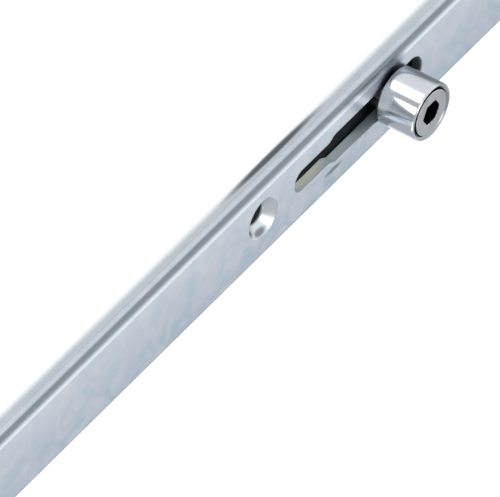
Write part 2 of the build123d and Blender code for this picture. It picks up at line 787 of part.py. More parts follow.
os.makedirs("parts", exist_ok=True)
for name, shape in parts.items():
    export_step(shape, f"parts/{name}.step")
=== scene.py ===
from math import cos, pi, radians, sin

import bmesh
import bpy
from mathutils import Matrix, Vector


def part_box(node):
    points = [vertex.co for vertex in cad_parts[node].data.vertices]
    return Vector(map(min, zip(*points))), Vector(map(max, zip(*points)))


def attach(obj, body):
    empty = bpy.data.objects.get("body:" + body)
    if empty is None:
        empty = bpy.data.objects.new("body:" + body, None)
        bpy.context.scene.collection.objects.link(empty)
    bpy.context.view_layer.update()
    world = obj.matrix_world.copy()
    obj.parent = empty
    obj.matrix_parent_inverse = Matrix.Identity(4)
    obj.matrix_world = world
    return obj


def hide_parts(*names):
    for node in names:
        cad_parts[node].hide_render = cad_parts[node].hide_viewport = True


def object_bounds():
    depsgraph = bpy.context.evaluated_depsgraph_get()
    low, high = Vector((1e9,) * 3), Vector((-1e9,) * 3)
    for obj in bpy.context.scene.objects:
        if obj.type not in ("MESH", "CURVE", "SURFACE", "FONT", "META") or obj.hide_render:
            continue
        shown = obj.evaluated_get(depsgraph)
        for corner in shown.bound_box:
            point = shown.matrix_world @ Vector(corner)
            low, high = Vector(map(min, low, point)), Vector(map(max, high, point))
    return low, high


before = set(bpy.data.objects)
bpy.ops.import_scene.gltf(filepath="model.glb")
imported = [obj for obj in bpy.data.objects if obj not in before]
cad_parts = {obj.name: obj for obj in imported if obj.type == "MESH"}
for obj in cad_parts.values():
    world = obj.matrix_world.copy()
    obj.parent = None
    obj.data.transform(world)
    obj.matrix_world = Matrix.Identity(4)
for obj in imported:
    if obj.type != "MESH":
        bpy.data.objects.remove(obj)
cad_low, cad_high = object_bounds()

# The length unit: sizes below are written in millimetres, and Blender works in metres.
MM = 0.001


# Faceplate
# One strip of rolled steel, punched for the cams, latch, bolt and screws, then bright zinc plated.
# Rolling rounds its long edges and leaves faint lines along it. Each punched edge has a bright break.

plate_low, plate_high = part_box("faceplate")
PLATE_HALF_W = plate_high.x
PLATE_T = plate_high.y
PLATE_CORNER = 2.0 * MM
LONG_EDGE = 0.55 * MM
LONG_EDGE_STEPS = 4
LONG_EDGE_ANGLE = 60.0
PUNCHED_EDGE = 0.28 * MM
PUNCHED_EDGE_STEPS = 3
PUNCHED_EDGE_ANGLE = 38.0
# A face is a wall where the Y of its normal is nearer nought than this
WALL_TILT = 0.3
PUNCH_PAST = 2.0 * MM
DRILL_LENGTH = 20.0 * MM
ROUND_STEPS = 72

SLOT_WIDE_R = 3.8 * MM
SLOT_NARROW_R = 2.8 * MM
SLOT_BELOW_CAM = 11.0 * MM
SLOT_ABOVE_CAM = 32.8 * MM
SLOT_STEP_ABOVE_CAM = 19.9 * MM
SLOT_STEP_HALF = 1.35 * MM
SLOT_STEP_POINTS = 10
# Odd, so that no corner stands on the strip's middle line, where a crease would show
SLOT_END_STEPS = 41

# How far a roller's axis stands off the shank it turns about, in X and Z
ECCENTRIC = (-0.24 * MM, -0.71 * MM)

SCREW_HOLE_R = 2.6 * MM
COUNTERSINK_R = 4.9 * MM
SCREW_ABOVE_SLOT = 10.7 * MM
END_SCREW_Z = 443.2 * MM
MIDDLE_SCREW_Z = 150.0 * MM
CYLINDER_SCREW_Z = -111.5 * MM
CASE_FIXING_Z = (53.0 * MM, -139.0 * MM)
GUIDE_STUD_Z = (-410.0 * MM, -216.0 * MM, 200.0 * MM, 365.0 * MM)
GUIDE_STUD_R = 2.5 * MM
BOLT_GAP = 0.3 * MM
BOLT_HEAD_Z = (-80.0 * MM, -58.5 * MM)
OPENING_CORNER = 0.8 * MM
CORNER_STEPS = 8


def middle_of(node):
    low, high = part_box(node)
    return (low + high) / 2


cam_heights = [middle_of(f"{side}_roller").z - ECCENTRIC[1] for side in ("lower", "upper")]
screw_heights = [-END_SCREW_Z, MIDDLE_SCREW_Z, END_SCREW_Z, CYLINDER_SCREW_Z]
screw_heights.append(cam_heights[0] + SLOT_ABOVE_CAM + SCREW_ABOVE_SLOT)


def arc(x, z, radius, start, end, steps):
    """Points in X and Z round a centre, angles in degrees."""
    angles = [radians(start + (end - start) * i / steps) for i in range(steps + 1)]
    return [(x + radius * cos(a), z + radius * sin(a)) for a in angles]


def rounded_window(half_w, low, high, radius):
    """A rectangle about the middle line, with rounded corners."""
    inner, steps = half_w - radius, CORNER_STEPS
    return (
        arc(inner, low + radius, radius, -90, 0, steps)
        + arc(inner, high - radius, radius, 0, 90, steps)
        + arc(-inner, high - radius, radius, 90, 180, steps)
        + arc(-inner, low + radius, radius, 180, 270, steps)
    )


def cam_slot(cam_z):
    """Wide and round-ended below, then softly stepped in to a narrow slot with a round top."""
    low, high = cam_z - SLOT_BELOW_CAM, cam_z + SLOT_ABOVE_CAM
    step = cam_z + SLOT_STEP_ABOVE_CAM
    wide_end = arc(0, low + SLOT_WIDE_R, SLOT_WIDE_R, 180, 360, SLOT_END_STEPS)
    narrow_end = arc(0, high - SLOT_NARROW_R, SLOT_NARROW_R, 0, 180, SLOT_END_STEPS)
    middle, swing = (SLOT_WIDE_R + SLOT_NARROW_R) / 2, (SLOT_WIDE_R - SLOT_NARROW_R) / 2
    turns = [i / SLOT_STEP_POINTS for i in range(-SLOT_STEP_POINTS, SLOT_STEP_POINTS + 1)]
    right = [(middle - swing * sin(pi / 2 * t), step + SLOT_STEP_HALF * t) for t in turns]
    left = [(-x, z) for x, z in reversed(right)]
    return wide_end + right + narrow_end + left


def add_prism(bm, outline, front, back):
    """An outline in X and Z, anticlockwise from the front, made solid from front to back."""
    near = [bm.verts.new((x, front, z)) for x, z in outline]
    far = [bm.verts.new((x, back, z)) for x, z in outline]
    bm.faces.new(near)
    bm.faces.new(far[::-1])
    for i in range(len(outline)):
        j = (i + 1) % len(outline)
        bm.faces.new((near[j], near[i], far[i], far[j]))


def add_object(name, mesh):
    piece = bpy.data.objects.new(name, mesh)
    bpy.context.scene.collection.objects.link(piece)
    return piece


def prisms(name, outlines, front, back):
    bm = bmesh.new()
    for outline in outlines:
        add_prism(bm, outline, front, back)
    mesh = bpy.data.meshes.new(name)
    bm.to_mesh(mesh)
    bm.free()
    return add_object(name, mesh)


def settle(piece):
    """Turns a piece's modifiers into plain mesh."""
    depsgraph = bpy.context.evaluated_depsgraph_get()
    mesh = bpy.data.meshes.new_from_object(piece.evaluated_get(depsgraph), depsgraph=depsgraph)
    piece.modifiers.clear()
    piece.data = mesh
    return piece


def discard(*pieces):
    for piece in pieces:
        bpy.data.objects.remove(piece)


def combine(piece, operation, *others):
    """Cuts the others from a piece, or joins them to it, and takes them away."""
    for other in others:
        step = piece.modifiers.new("combine", "BOOLEAN")
        step.operation = operation
        step.solver = "EXACT"
        step.object = other
    settle(piece)
    discard(*others)


def places(name, points):
    """A mesh of loose points that a node tree sets things on."""
    mesh = bpy.data.meshes.new(name)
    mesh.from_pydata(points, [], [])
    return add_object(name, mesh)


FLOAT, VECTOR, OBJECT, INT, MATERIAL = (
    f"NodeSocket{kind}" for kind in ("Float", "Vector", "Object", "Int", "Material")
)


def add_input(tree, name, kind, value=None):
    socket = tree.interface.new_socket(name, in_out="INPUT", socket_type=kind)
    if value is not None:
        socket.default_value = value


def new_tree(name, inputs):
    """A geometry node tree with named inputs: name, socket kind and default of each."""
    tree = bpy.data.node_groups.new(name, "GeometryNodeTree")
    tree.interface.new_socket("Geometry", in_out="INPUT", socket_type="NodeSocketGeometry")
    for entry in inputs:
        add_input(tree, *entry)
    add_input(tree, "Material", MATERIAL)
    tree.interface.new_socket("Geometry", in_out="OUTPUT", socket_type="NodeSocketGeometry")
    return tree, tree.nodes.new("NodeGroupInput")


def end_tree(tree, given, shape):
    """Ends a tree with real geometry in the given material."""
    real = tree.nodes.new("GeometryNodeRealizeInstances")
    tree.links.new(shape, real.inputs["Geometry"])
    paint = tree.nodes.new("GeometryNodeSetMaterial")
    tree.links.new(real.outputs["Geometry"], paint.inputs["Geometry"])
    tree.links.new(given.outputs["Material"], paint.inputs["Material"])
    result = tree.nodes.new("NodeGroupOutput")
    tree.links.new(paint.outputs["Geometry"], result.inputs["Geometry"])


def use_tree(piece, tree, **values):
    """Adds the tree to a piece with its inputs set by name, then makes the result plain mesh."""
    modifier = piece.modifiers.new(tree.name, "NODES")
    modifier.node_group = tree
    for socket in tree.interface.items_tree:
        key = socket.name.replace(" ", "_").lower()
        if socket.in_out == "INPUT" and key in values:
            modifier[socket.identifier] = values[key]
    return settle(piece)


def maths(tree, operation, first, second, third=None, clamp=False):
    """A sum of numbers or other nodes' outputs, as one node's output."""
    node = tree.nodes.new("ShaderNodeMath")
    node.operation = operation
    node.use_clamp = clamp
    for socket, value in zip(node.inputs, (first, second, third)):
        if isinstance(value, (int, float)):
            socket.default_value = value
        elif value is not None:
            tree.links.new(value, socket)
    return node.outputs[0]


# The punching tool: a straight hole with a cone at its front, set on each place and cut out.
punching, given = new_tree(
    "Punched and countersunk holes",
    [
        ("Places", OBJECT),
        ("Hole Radius", FLOAT, SCREW_HOLE_R),
        ("Countersink Radius", FLOAT, COUNTERSINK_R),
        ("Past", FLOAT, PUNCH_PAST),
    ],
)
nodes, links = punching.nodes, punching.links
spots = nodes.new("GeometryNodeObjectInfo")
links.new(given.outputs["Places"], spots.inputs["Object"])
drill = nodes.new("GeometryNodeMeshCylinder")
drill.inputs["Vertices"].default_value = ROUND_STEPS
drill.inputs["Depth"].default_value = DRILL_LENGTH
links.new(given.outputs["Hole Radius"], drill.inputs["Radius"])
wide = maths(punching, "ADD", given.outputs["Countersink Radius"], given.outputs["Past"])
cone = nodes.new("GeometryNodeMeshCone")
cone.inputs["Vertices"].default_value = ROUND_STEPS
cone.inputs["Radius Top"].default_value = 0.0
links.new(wide, cone.inputs["Radius Bottom"])
links.new(wide, cone.inputs["Depth"])
drop = nodes.new("ShaderNodeCombineXYZ")
links.new(maths(punching, "MULTIPLY", given.outputs["Past"], -1.0), drop.inputs["Z"])
lower_cone = nodes.new("GeometryNodeTransform")
links.new(cone.outputs["Mesh"], lower_cone.inputs["Geometry"])
links.new(drop.outputs[0], lower_cone.inputs["Translation"])
both = nodes.new("GeometryNodeJoinGeometry")
links.new(lower_cone.outputs["Geometry"], both.inputs[0])
links.new(drill.outputs["Mesh"], both.inputs[0])
set_on = nodes.new("GeometryNodeInstanceOnPoints")
set_on.inputs["Rotation"].default_value = (-pi / 2, 0, 0)
links.new(spots.outputs["Geometry"], set_on.inputs["Points"])
links.new(both.outputs[0], set_on.inputs["Instance"])
tools = nodes.new("GeometryNodeRealizeInstances")
links.new(set_on.outputs["Instances"], tools.inputs["Geometry"])
punch = nodes.new("GeometryNodeMeshBoolean")
punch.operation = "DIFFERENCE"
punch.solver = "EXACT"
punch.inputs["Self Intersection"].default_value = True
links.new(given.outputs["Geometry"], punch.inputs["Mesh 1"])
links.new(tools.outputs["Geometry"], punch.inputs["Mesh 2"])
end_tree(punching, given, punch.outputs["Mesh"])


def shader_group(name, inputs, outputs):
    """A group that gives masks from a point's place on the piece: its tree, inputs, outputs, place."""
    tree = bpy.data.node_groups.new(name, "ShaderNodeTree")
    for entry in inputs:
        add_input(tree, *entry)
    for output in outputs:
        tree.interface.new_socket(output, in_out="OUTPUT", socket_type=FLOAT)
    given = tree.nodes.new("NodeGroupInput").outputs
    result = tree.nodes.new("NodeGroupOutput").inputs
    place = tree.nodes.new("ShaderNodeTexCoord").outputs["Object"]
    return tree, given, result, place


def noise_at(tree, vector, scale, detail=2.0, distortion=0.0):
    noise = tree.nodes.new("ShaderNodeTexNoise")
    noise.inputs["Detail"].default_value = detail
    noise.inputs["Distortion"].default_value = distortion
    tree.links.new(vector, noise.inputs["Vector"])
    tree.links.new(scale, noise.inputs["Scale"])
    return noise.outputs["Fac"]


def vector_maths(tree, operation, first, second):
    node = tree.nodes.new("ShaderNodeVectorMath")
    node.operation = operation
    tree.links.new(first, node.inputs[0])
    if isinstance(second, tuple):
        node.inputs[1].default_value = second
    else:
        tree.links.new(second, node.inputs[1])
    return node.outputs["Vector"]


def ramp(tree, value, start, end):
    """Nought at start, one at end, smooth between. Both ends may be other nodes' outputs."""
    node = tree.nodes.new("ShaderNodeMapRange")
    node.interpolation_type = "SMOOTHSTEP"
    tree.links.new(value, node.inputs["Value"])
    for name, limit in (("From Min", start), ("From Max", end)):
        if isinstance(limit, (int, float)):
            node.inputs[name].default_value = limit
        else:
            tree.links.new(limit, node.inputs[name])
    return node.outputs["Result"]


# Shared finish: fine lines that rolling or turning leaves. Grain is how fast they change each way.
grain_lines, given, result, place = shader_group(
    "Grain lines",
    [("Fineness", FLOAT, 900.0), ("Grain", VECTOR, (1.0, 1.0, 0.016))],
    ["Lines", "Bands"],
)
drawn = vector_maths(grain_lines, "MULTIPLY", place, given["Grain"])
BAND_SHARE = 0.16
coarse = maths(grain_lines, "MULTIPLY", given["Fineness"], BAND_SHARE)
grain_lines.links.new(noise_at(grain_lines, drawn, given["Fineness"], 4.0), result["Lines"])
grain_lines.links.new(noise_at(grain_lines, drawn, coarse), result["Bands"])

# Shared finish: the cloudy bloom that a zinc bath leaves, from blue to a hint of lilac.
blooming, given, result, place = shader_group(
    "Plating bloom", [("Size", FLOAT, 60.0), ("Contrast", FLOAT, 1.6)], ["Cloud", "Tint"]
)
TINT_SHARE = 0.45
TINT_SHIFT = (3.7, 3.7, 3.7)
tint_size = maths(blooming, "MULTIPLY", given["Size"], TINT_SHARE)
tint_place = vector_maths(blooming, "ADD", place, TINT_SHIFT)
for output, where, size, detail, distortion in (
    ("Cloud", place, given["Size"], 5.0, 0.4),
    ("Tint", tint_place, tint_size, 2.0, 1.2),
):
    noise = noise_at(blooming, where, size, detail, distortion)
    centred = maths(blooming, "SUBTRACT", noise, 0.5)
    mask = maths(blooming, "MULTIPLY_ADD", centred, given["Contrast"], 0.5, clamp=True)
    blooming.links.new(mask, result[output])

# Shared finish: edges that rub bright, broken up so that no edge is bright all along.
wearing, given, result, place = shader_group(
    "Edge wear", [("Amount", FLOAT, 0.7), ("Breakup", FLOAT, 180.0)], ["Worn"]
)
marked = wearing.nodes.new("ShaderNodeAttribute")
marked.attribute_name = "edge"
WORN_FROM, WORN_TO = 0.3, 0.6
breakup = noise_at(wearing, place, given["Breakup"], 3.0)
patches = ramp(wearing, breakup, WORN_FROM, WORN_TO)
rubbed = maths(wearing, "MULTIPLY", marked.outputs["Fac"], patches)
wearing.links.new(maths(wearing, "MULTIPLY", rubbed, given["Amount"]), result["Worn"])

# Shared painted light: painted shade from side to side across the strip, a painted dark reflection
# on the rounded rim at each long edge, half as wide on the left, and a painted highlight line just
# inside the right one.
painted_light_across, given, result, place = shader_group(
    "Painted light across strip",
    [("Half Width", FLOAT, PLATE_HALF_W), ("Rim", FLOAT, 0.78 * MM), ("Shine At", FLOAT, 2.25 * MM)],
    ["Slope", "Rim", "Shine"],
)
apart = painted_light_across.nodes.new("ShaderNodeSeparateXYZ")
painted_light_across.links.new(place, apart.inputs[0])
across, depth = apart.outputs["X"], apart.outputs["Y"]
minus_half = maths(painted_light_across, "MULTIPLY", given["Half Width"], -1.0)
slope = painted_light_across.nodes.new("ShaderNodeMapRange")
for source, name in ((across, "Value"), (minus_half, "From Min"), (given["Half Width"], "From Max")):
    painted_light_across.links.new(source, slope.inputs[name])
painted_light_across.links.new(slope.outputs["Result"], result["Slope"])
off_middle = maths(painted_light_across, "ABSOLUTE", across, 0.0)
to_edge = maths(painted_light_across, "SUBTRACT", given["Half Width"], off_middle)
on_left = maths(painted_light_across, "LESS_THAN", across, 0.0)
narrowed = maths(painted_light_across, "MULTIPLY", to_edge, maths(painted_light_across, "ADD", on_left, 1.0))
near_edge = ramp(painted_light_across, narrowed, maths(painted_light_across, "MULTIPLY", given["Rim"], 2.0), given["Rim"])
RIM_FADE_FROM, RIM_FADE_TO = 0.5, 1.3
fade_from = maths(painted_light_across, "MULTIPLY", given["Rim"], RIM_FADE_FROM)
fade_to = maths(painted_light_across, "MULTIPLY", given["Rim"], RIM_FADE_TO)
near_front = ramp(painted_light_across, depth, fade_to, fade_from)
painted_light_across.links.new(maths(painted_light_across, "MULTIPLY", near_edge, near_front), result["Rim"])
off_line = maths(painted_light_across, "ABSOLUTE", maths(painted_light_across, "SUBTRACT", to_edge, given["Shine At"]), 0.0)
line = ramp(painted_light_across, off_line, given["Rim"], 0.0)
on_right = maths(painted_light_across, "GREATER_THAN", across, 0.0)
painted_light_across.links.new(maths(painted_light_across, "MULTIPLY", line, on_right), result["Shine"])

# Shared mask: a band between two depths, out to a half width from the middle. It carries grease
# with painted shade, and also the bright countersink cones.
depth_band, given, result, place = shader_group(
    "Depth band",
    [
        ("Front", FLOAT, 0.0),
        ("Back", FLOAT, 10.0 * MM),
        ("Half Width", FLOAT, 20.0 * MM),
        ("Soft", FLOAT, 0.1 * MM),
    ],
    ["Film"],
)
apart = depth_band.nodes.new("ShaderNodeSeparateXYZ")
depth_band.links.new(place, apart.inputs[0])
depth = apart.outputs["Y"]
past_front = ramp(
    depth_band, depth, given["Front"], maths(depth_band, "ADD", given["Front"], given["Soft"])
)
before_back = ramp(
    depth_band, depth, given["Back"], maths(depth_band, "SUBTRACT", given["Back"], given["Soft"])
)
off_middle = maths(depth_band, "ABSOLUTE", apart.outputs["X"], 0.0)
edge_in = maths(depth_band, "SUBTRACT", given["Half Width"], given["Soft"])
inside = ramp(depth_band, off_middle, given["Half Width"], edge_in)
band = maths(depth_band, "MULTIPLY", past_front, before_back)
depth_band.links.new(maths(depth_band, "MULTIPLY", band, inside), result["Film"])

# Shared mask: one soft-edged patch at a place, for marks and dirt, and for painted shade and highlights.
soft_patch, given, result, place = shader_group(
    "Smear",
    [("Middle", VECTOR, (0.0, 0.0, 0.0)), ("Reach", VECTOR, (0.01, 0.01, 0.01))],
    ["Mark"],
)
from_middle = vector_maths(soft_patch, "SUBTRACT", place, given["Middle"])
share = vector_maths(soft_patch, "DIVIDE", from_middle, given["Reach"])
length = soft_patch.nodes.new("ShaderNodeVectorMath")
length.operation = "LENGTH"
soft_patch.links.new(share, length.inputs[0])
PATCH_CORE = 0.35
soft_patch.links.new(ramp(soft_patch, length.outputs["Value"], 1.0, PATCH_CORE), result["Mark"])


def colour_mix(tree, factor, first, second):
    """A colour between first and second, each a colour or another node's output."""
    mix = tree.nodes.new("ShaderNodeMix")
    mix.data_type = "RGBA"
    tree.links.new(factor, mix.inputs["Factor"])
    for socket, value in ((mix.inputs[6], first), (mix.inputs[7], second)):
        if isinstance(value, tuple):
            socket.default_value = (*value, 1.0)
        else:
            tree.links.new(value, socket)
    return mix.outputs[2]


def mask_from(material, group, output, **values):
    """One of a shared finish's masks, with the group's inputs set by name."""
    node = material.node_tree.nodes.new("ShaderNodeGroup")
    node.node_tree = group
    for socket in node.inputs:
        key = socket.name.replace(" ", "_").lower()
        if key in values:
            socket.default_value = values[key]
    return node.outputs[output]


def coat(material, mask, colour, strength=1.0, roughness=None, metallic=None):
    """Lays a colour, and what else is given, over a material where the mask is one."""
    tree = material.node_tree
    shader = tree.nodes["Principled BSDF"]
    share = maths(tree, "MULTIPLY", mask, strength)
    below = shader.inputs["Base Color"].links[0].from_socket
    tree.links.new(colour_mix(tree, share, below, colour), shader.inputs["Base Color"])
    for name, value in (("Roughness", roughness), ("Metallic", metallic)):
        if value is None:
            continue
        mix = tree.nodes.new("ShaderNodeMix")
        mix.inputs["A"].default_value = shader.inputs[name].default_value
        mix.inputs["B"].default_value = value
        tree.links.new(share, mix.inputs["Factor"])
        for link in shader.inputs[name].links:
            tree.links.new(link.from_socket, mix.inputs["A"])
        tree.links.new(mix.outputs["Result"], shader.inputs[name])


def dull_mask(material):
    """The faces that mark_dull picked out."""
    marked = material.node_tree.nodes.new("ShaderNodeAttribute")
    marked.attribute_name = "dull"
    return marked.outputs["Fac"]


def patch_near_cam(material, middle, reach, colour, strength, roughness=None):
    """A soft patch of colour near the lower cam, used for marks, dirt, painted shade and painted highlights:
    its middle from the shank and its reach, in millimetres.
    """
    x, y, z = middle
    mark = mask_from(
        material,
        soft_patch,
        "Mark",
        middle=(x * MM, y * MM, cam_heights[0] + z * MM),
        reach=tuple(size * MM for size in reach),
    )
    coat(material, mark, colour, strength, roughness)


TINT_STRENGTH = 0.5
ROUGHNESS_LOW, ROUGHNESS_HIGH = 0.8, 1.25
RELIEF_HEIGHT = 0.02 * MM


def plated_metal(
    name,
    colour,
    shade,
    tint,
    bright,
    roughness,
    lines=0.4,
    fineness=900.0,
    grain=(1.0, 1.0, 0.016),
    bloom=60.0,
    contrast=1.6,
    wear=0.6,
    bump=0.12,
):
    """Plated steel: its colour drifts in clouds and lines, and its edges are rubbed bright."""
    material = bpy.data.materials.new(name)
    material.use_nodes = True
    tree = material.node_tree
    shader = tree.nodes["Principled BSDF"]
    shader.inputs["Metallic"].default_value = 1.0
    cloud = mask_from(material, blooming, "Cloud", size=bloom, contrast=contrast)
    clouded = colour_mix(tree, cloud, colour, shade)
    tree.links.new(clouded, shader.inputs["Base Color"])
    tinted = mask_from(material, blooming, "Tint", size=bloom, contrast=contrast)
    coat(material, tinted, tint, TINT_STRENGTH)
    bands = mask_from(material, grain_lines, "Bands", fineness=fineness, grain=grain)
    coat(material, bands, shade, lines)
    coat(material, mask_from(material, wearing, "Worn", amount=wear), bright)
    fine = mask_from(material, grain_lines, "Lines", fineness=fineness, grain=grain)
    rough = tree.nodes.new("ShaderNodeMapRange")
    rough.inputs["To Min"].default_value = roughness * ROUGHNESS_LOW
    rough.inputs["To Max"].default_value = roughness * ROUGHNESS_HIGH
    tree.links.new(fine, rough.inputs["Value"])
    tree.links.new(rough.outputs["Result"], shader.inputs["Roughness"])
    relief = tree.nodes.new("ShaderNodeBump")
    relief.inputs["Strength"].default_value = bump
    relief.inputs["Distance"].default_value = RELIEF_HEIGHT
    tree.links.new(fine, relief.inputs["Height"])
    tree.links.new(relief.outputs["Normal"], shader.inputs["Normal"])
    return material


ZINC_BRIGHT = (0.84, 0.88, 0.92)
# Near black: grease, and painted shade where parts hide each other
GREASE_AND_SHADE = (0.012, 0.012, 0.013)

zinc_plate = plated_metal(
    "zinc_plate",
    colour=(0.53, 0.585, 0.64),
    shade=(0.43, 0.505, 0.565),
    tint=(0.58, 0.53, 0.61),
    bright=ZINC_BRIGHT,
    roughness=0.30,
    lines=0.35,
    bloom=95.0,
    contrast=2.2,
    wear=0.8,
)
# Painted light and shade: brighter to the right, darker to the left; small patches of tone over all of it
painted_lit_right = mask_from(zinc_plate, painted_light_across, "Slope")
painted_shaded_left = maths(zinc_plate.node_tree, "SUBTRACT", 1.0, painted_lit_right)
coat(zinc_plate, painted_lit_right, (0.60, 0.66, 0.70), 0.6)
coat(zinc_plate, painted_shaded_left, (0.24, 0.33, 0.41), 0.75)
for output, size, colour in (("Cloud", 190.0, (0.36, 0.46, 0.53)), ("Tint", 400.0, (0.66, 0.60, 0.64))):
    patches = mask_from(zinc_plate, blooming, output, size=size, contrast=2.8)
    coat(zinc_plate, patches, colour, 0.38)
# Painted highlight: a bright line just inside the right long edge
coat(zinc_plate, mask_from(zinc_plate, painted_light_across, "Shine"), (0.84, 0.91, 0.98), 0.7)
# Painted dark reflection along the rounded rim of each long edge
coat(zinc_plate, mask_from(zinc_plate, painted_light_across, "Rim"), (0.19, 0.22, 0.24), 0.88)
# A dark streak beside the slot's step, and the darker back half of the right edge
patch_near_cam(zinc_plate, (-5.3, 0.0, 19.7), (0.85, 0.4, 3.8), (0.11, 0.11, 0.13), 0.85)
patch_near_cam(zinc_plate, (10.0, 3.1, 60.0), (0.4, 1.7, 400.0), (0.36, 0.39, 0.42), 0.75)
# The countersinks are cut bright, and painted shade darkens two patches low in the lower one's cone
cut_cone = mask_from(
    zinc_plate, depth_band, "Film", front=0.1 * MM, back=2.4 * MM, half_width=5.0 * MM
)
coat(zinc_plate, cut_cone, (0.69, 0.72, 0.73), 0.9, roughness=0.34)
patch_near_cam(zinc_plate, (-1.6, 0.9, 46.9), (2.1, 1.0, 1.7), (0.12, 0.13, 0.14), 0.8)
patch_near_cam(zinc_plate, (-4.0, 0.8, 44.0), (1.3, 0.95, 2.7), (0.12, 0.13, 0.14), 0.8)
# Punched walls are torn and dull, and warmer where the slot is wide. Painted shade darkens the slot's
# end under the roller, and painted shadow with dirt darkens the strip beside the roller
coat(zinc_plate, dull_mask(zinc_plate), (0.31, 0.38, 0.39), 0.9, roughness=0.6, metallic=0.1)
patch_near_cam(zinc_plate, (-2.8, 1.8, 27.0), (0.3, 2.2, 7.5), (0.52, 0.51, 0.43), 0.9)
patch_near_cam(zinc_plate, (-1.0, 1.3, -10.4), (3.6, 1.7, 1.8), (0.02, 0.02, 0.02), 0.8)
patch_near_cam(zinc_plate, (7.6, 0.0, -1.0), (2.6, 1.0, 5.0), (0.10, 0.12, 0.14), 0.7)


SAME_POINT = 2e-6
FLAT_ANGLE = radians(0.2)


def break_edges(piece, width, segments=2, angle=30.0):
    """Rounds the sharp edges a little and marks the new faces, which wear bright, as edge."""
    bm = bmesh.new()
    bm.from_mesh(piece.data)
    bmesh.ops.remove_doubles(bm, verts=bm.verts, dist=SAME_POINT)
    bmesh.ops.dissolve_limit(bm, angle_limit=FLAT_ANGLE, verts=bm.verts, edges=bm.edges)
    for face in bm.faces:
        face.smooth = True
    bm.to_mesh(piece.data)
    bm.free()
    piece.data.materials.clear()
    # The new faces take the second of two empty materials, which tells them apart below
    for _ in range(2):
        piece.data.materials.append(None)
    bevel = piece.modifiers.new("broken edges", "BEVEL")
    bevel.width = width
    bevel.segments = segments
    bevel.limit_method = "ANGLE"
    bevel.angle_limit = radians(angle)
    bevel.use_clamp_overlap = False
    bevel.loop_slide = False
    bevel.miter_outer = "MITER_ARC"
    bevel.material = 1
    even = piece.modifiers.new("even shading", "WEIGHTED_NORMAL")
    even.keep_sharp = True
    settle(piece)
    mesh = piece.data
    on_edge = [float(face.material_index) for face in mesh.polygons]
    for face in mesh.polygons:
        face.material_index = 0
    mesh.materials.clear()
    edge = mesh.attributes.new("edge", "FLOAT", "FACE")
    edge.data.foreach_set("value", on_edge)
    return piece


def mark_dull(piece, is_dull):
    """Marks the faces whose middle and normal pass the test, such as torn or turned ones."""
    marks = [float(is_dull(face.center, face.normal)) for face in piece.data.polygons]
    piece.data.attributes.new("dull", "FLOAT", "FACE").data.foreach_set("value", marks)


def dress(piece, material, slot, body, *nodes_stood_for):
    """Gives a finished piece its material and body, and lets it stand for CAD nodes. The slot is not used.
    """
    piece.data.materials.clear()
    piece.data.materials.append(material)
    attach(piece, body)
    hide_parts(*nodes_stood_for)
    return piece


def is_punched_wall(middle, normal):
    """A face that stands up from the strip, inside its long edges."""
    return abs(middle.x) < PLATE_HALF_W - MM and abs(normal.y) < WALL_TILT


strip = prisms(
    "faceplate_strip",
    [rounded_window(PLATE_HALF_W, plate_low.z, plate_high.z, PLATE_CORNER)],
    0,
    PLATE_T,
)
rounding = strip.modifiers.new("rolled edges", "BEVEL")
rounding.width = LONG_EDGE
rounding.segments = LONG_EDGE_STEPS
rounding.limit_method = "ANGLE"
rounding.angle_limit = radians(LONG_EDGE_ANGLE)
settle(strip)
openings = [cam_slot(z) for z in cam_heights]
latch_low, latch_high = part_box("latch_bolt")
bolt_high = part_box("deadbolt")[1]
for half_w, low, high in (
    (latch_high.x, latch_low.z, latch_high.z),
    (bolt_high.x, *BOLT_HEAD_Z),
):
    outline = rounded_window(half_w + BOLT_GAP, low - BOLT_GAP, high + BOLT_GAP, OPENING_CORNER)
    openings.append(outline)
combine(strip, "DIFFERENCE", prisms("openings", openings, -PUNCH_PAST, PLATE_T + PUNCH_PAST))
countersunk = places("countersunk", [(0, 0, z) for z in [*screw_heights, *CASE_FIXING_Z]])
use_tree(strip, punching, places=countersunk, material=zinc_plate)
plain = places("plain", [(0, 0, z) for z in GUIDE_STUD_Z])
use_tree(strip, punching, places=plain, countersink_radius=GUIDE_STUD_R, material=zinc_plate)
discard(countersunk, plain)
break_edges(strip, PUNCHED_EDGE, PUNCHED_EDGE_STEPS, PUNCHED_EDGE_ANGLE)
mark_dull(strip, is_punched_wall)
dress(strip, zinc_plate, "zinc_plate", "frame", "faceplate")


# Guide studs
# Turned steel studs, riveted into the faceplate and ground flush, that the rails slide on.

GUIDE_HEAD_R = 4.5 * MM
GUIDE_HEAD_T = 1.2 * MM
RAIL_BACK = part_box("lower_rail")[1].y
RUNNING_GAP = 0.1 * MM
FASTENER_EDGE = 0.08 * MM


def lathed(name, profile, x=0.0, z=0.0, segments=ROUND_STEPS):
    """A closed ring or solid turned about a line along Y, from (radius, y) corners."""
    bm = bmesh.new()
    rings = []
    for radius, y in profile:
        if radius == 0:
            rings.append([bm.verts.new((x, y, z))])
            continue
        angles = [2 * pi * i / segments for i in range(segments)]
        rings.append([bm.verts.new((x + radius * cos(a), y, z + radius * sin(a))) for a in angles])
    pairs = list(zip(rings, rings[1:]))
    if all(len(ring) > 1 for ring in rings):
        pairs.append((rings[-1], rings[0]))
    for first, second in pairs:
        for i in range(segments):
            j = (i + 1) % segments
            corners = [ring[k % len(ring)] for ring, k in ((first, i), (first, j), (second, j), (second, i))]
            corners = list(dict.fromkeys(corners))
            if len(corners) > 2:
                bm.faces.new(corners)
    bmesh.ops.recalc_face_normals(bm, faces=bm.faces)
    mesh = bpy.data.meshes.new(name)
    bm.to_mesh(mesh)
    bm.free()
    return add_object(name, mesh)


